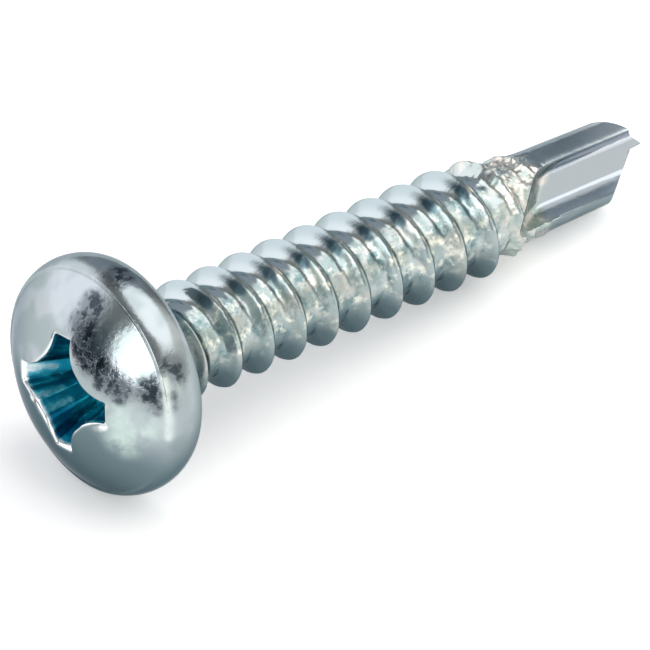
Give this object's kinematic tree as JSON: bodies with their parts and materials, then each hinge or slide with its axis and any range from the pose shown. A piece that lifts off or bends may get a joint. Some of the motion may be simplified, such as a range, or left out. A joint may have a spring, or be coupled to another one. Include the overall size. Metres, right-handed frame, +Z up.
{
  "type": "self drilling screw",
  "caption": "Pan head self-drilling screw with a cross recess, a coarse tapping thread and a fluted drill point, lying on its side.",
  "frame": {"origin": "centre of the footprint on the ground plane, under the middle of the bounding box", "axes": "+X along the screw from head to drill point, seen from above; +Z up; the screw lies as it rests, tilted about 7 degrees, on the side of its head and a corner of its drill point"},
  "size_m": [0.027, 0.0088, 0.0087],
  "materials": {
    "zinc_plated_steel": "bright zinc plate with a faint blue passivate sheen, slightly pitted from forging and plating"
  },
  "bodies": {
    "root": {"screw": "zinc_plated_steel"}
  },
  "joints": []
}
